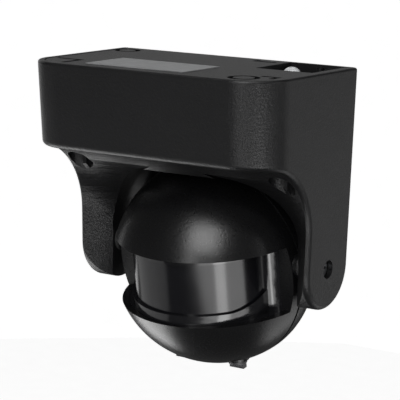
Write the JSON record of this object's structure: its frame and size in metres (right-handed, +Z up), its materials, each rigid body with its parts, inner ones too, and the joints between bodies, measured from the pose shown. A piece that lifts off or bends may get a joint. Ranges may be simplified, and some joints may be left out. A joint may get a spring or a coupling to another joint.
{
  "type": "wall-mounted motion sensor",
  "caption": "Wall-mounted passive infrared motion sensor: rounded box with two arms holding a ball head that tilts, curved lens window, and two setting knobs underneath.",
  "frame": {"origin": "on the wall face of the mounting base, on the centre line, halfway up the box", "axes": "+X to the right seen from the front, +Y into the wall, +Z up"},
  "size_m": [0.094, 0.0583, 0.1044],
  "materials": {
    "black_plastic": "matt fine-grained black moulding",
    "frame_plastic": "gloss black moulding",
    "lens_film": "smooth dark infrared-passing polyethylene",
    "knob_plastic": "satin black",
    "seal_rubber": "matt",
    "grommet_rubber": "soft light grey",
    "label_foil": "satin silver label stock",
    "terminal_plastic": "satin",
    "plated_brass": "bright",
    "plated_steel": "zinc plated",
    "board_laminate": "green solder mask",
    "relay_case": "satin blue",
    "film_case": "satin orange",
    "can_sleeve": "shrink sleeve",
    "diode_body": "moulded",
    "varistor_coat": "dipped coating",
    "resistor_coat": "lacquer",
    "lead_sheath": "flexible PVC sheath",
    "detector_can": "nickel",
    "detector_glass": "dark filter",
    "cell_face": "clear coat",
    "led_body": "clear red",
    "trimmer_body": "moulded"
  },
  "bodies": {
    "root": {"housing_shell": "black_plastic", "mounting_base": "black_plastic", "rim_gasket": "seal_rubber", "cable_grommet": "grommet_rubber", "rating_label": "label_foil", "terminal_block": "terminal_plastic", "terminal_clamps": "plated_brass", "terminal_screws": "plated_steel", "power_pcb": "board_laminate", "pcb_screws": "plated_steel", "relay": "relay_case", "film_capacitor": "film_case", "electrolytic_capacitor": "can_sleeve", "rectifier_diodes": "diode_body", "surge_varistor": "varistor_coat", "dropper_resistor": "resistor_coat", "lead_connector": "terminal_plastic", "housing_screws": "plated_steel", "head_lead": "lead_sheath", "terminal_leads": "lead_sheath"},
    "head": {"head_front_shell": "black_plastic", "head_rear_shell": "black_plastic", "head_screws": "plated_steel", "pivot_hub": "black_plastic", "cable_hub": "black_plastic", "hub_clip": "black_plastic", "friction_washers": "seal_rubber", "pivot_screw": "plated_steel", "fresnel_lens": "lens_film", "lens_frame": "frame_plastic", "sensor_pcb": "board_laminate", "pir_detector": "detector_can", "detector_window": "detector_glass", "light_sensor": "cell_face", "status_led": "led_body", "comparator_chip": "diode_body", "time_trimmer": "trimmer_body", "lux_trimmer": "trimmer_body", "knob_seals": "seal_rubber"},
    "time_knob": {"time_knob": "knob_plastic"},
    "lux_knob": {"lux_knob": "knob_plastic"}
  },
  "joints": [
    {"name": "head_tilt", "type": "hinge", "parent": "root", "child": "head", "pos_m": [0, -0.0136, -0.051], "axis": [1, 0, 0], "range_deg": [-30, 6]},
    {"name": "time_knob", "type": "hinge", "parent": "head", "child": "time_knob", "pos_m": [0.011, -0.01295, -0.08529], "axis": [0, -0.1736, 0.9848], "range_deg": [-135, 135]},
    {"name": "lux_knob", "type": "hinge", "parent": "head", "child": "lux_knob", "pos_m": [-0.011, -0.01295, -0.08529], "axis": [0, -0.1736, 0.9848], "range_deg": [-135, 135]}
  ]
}
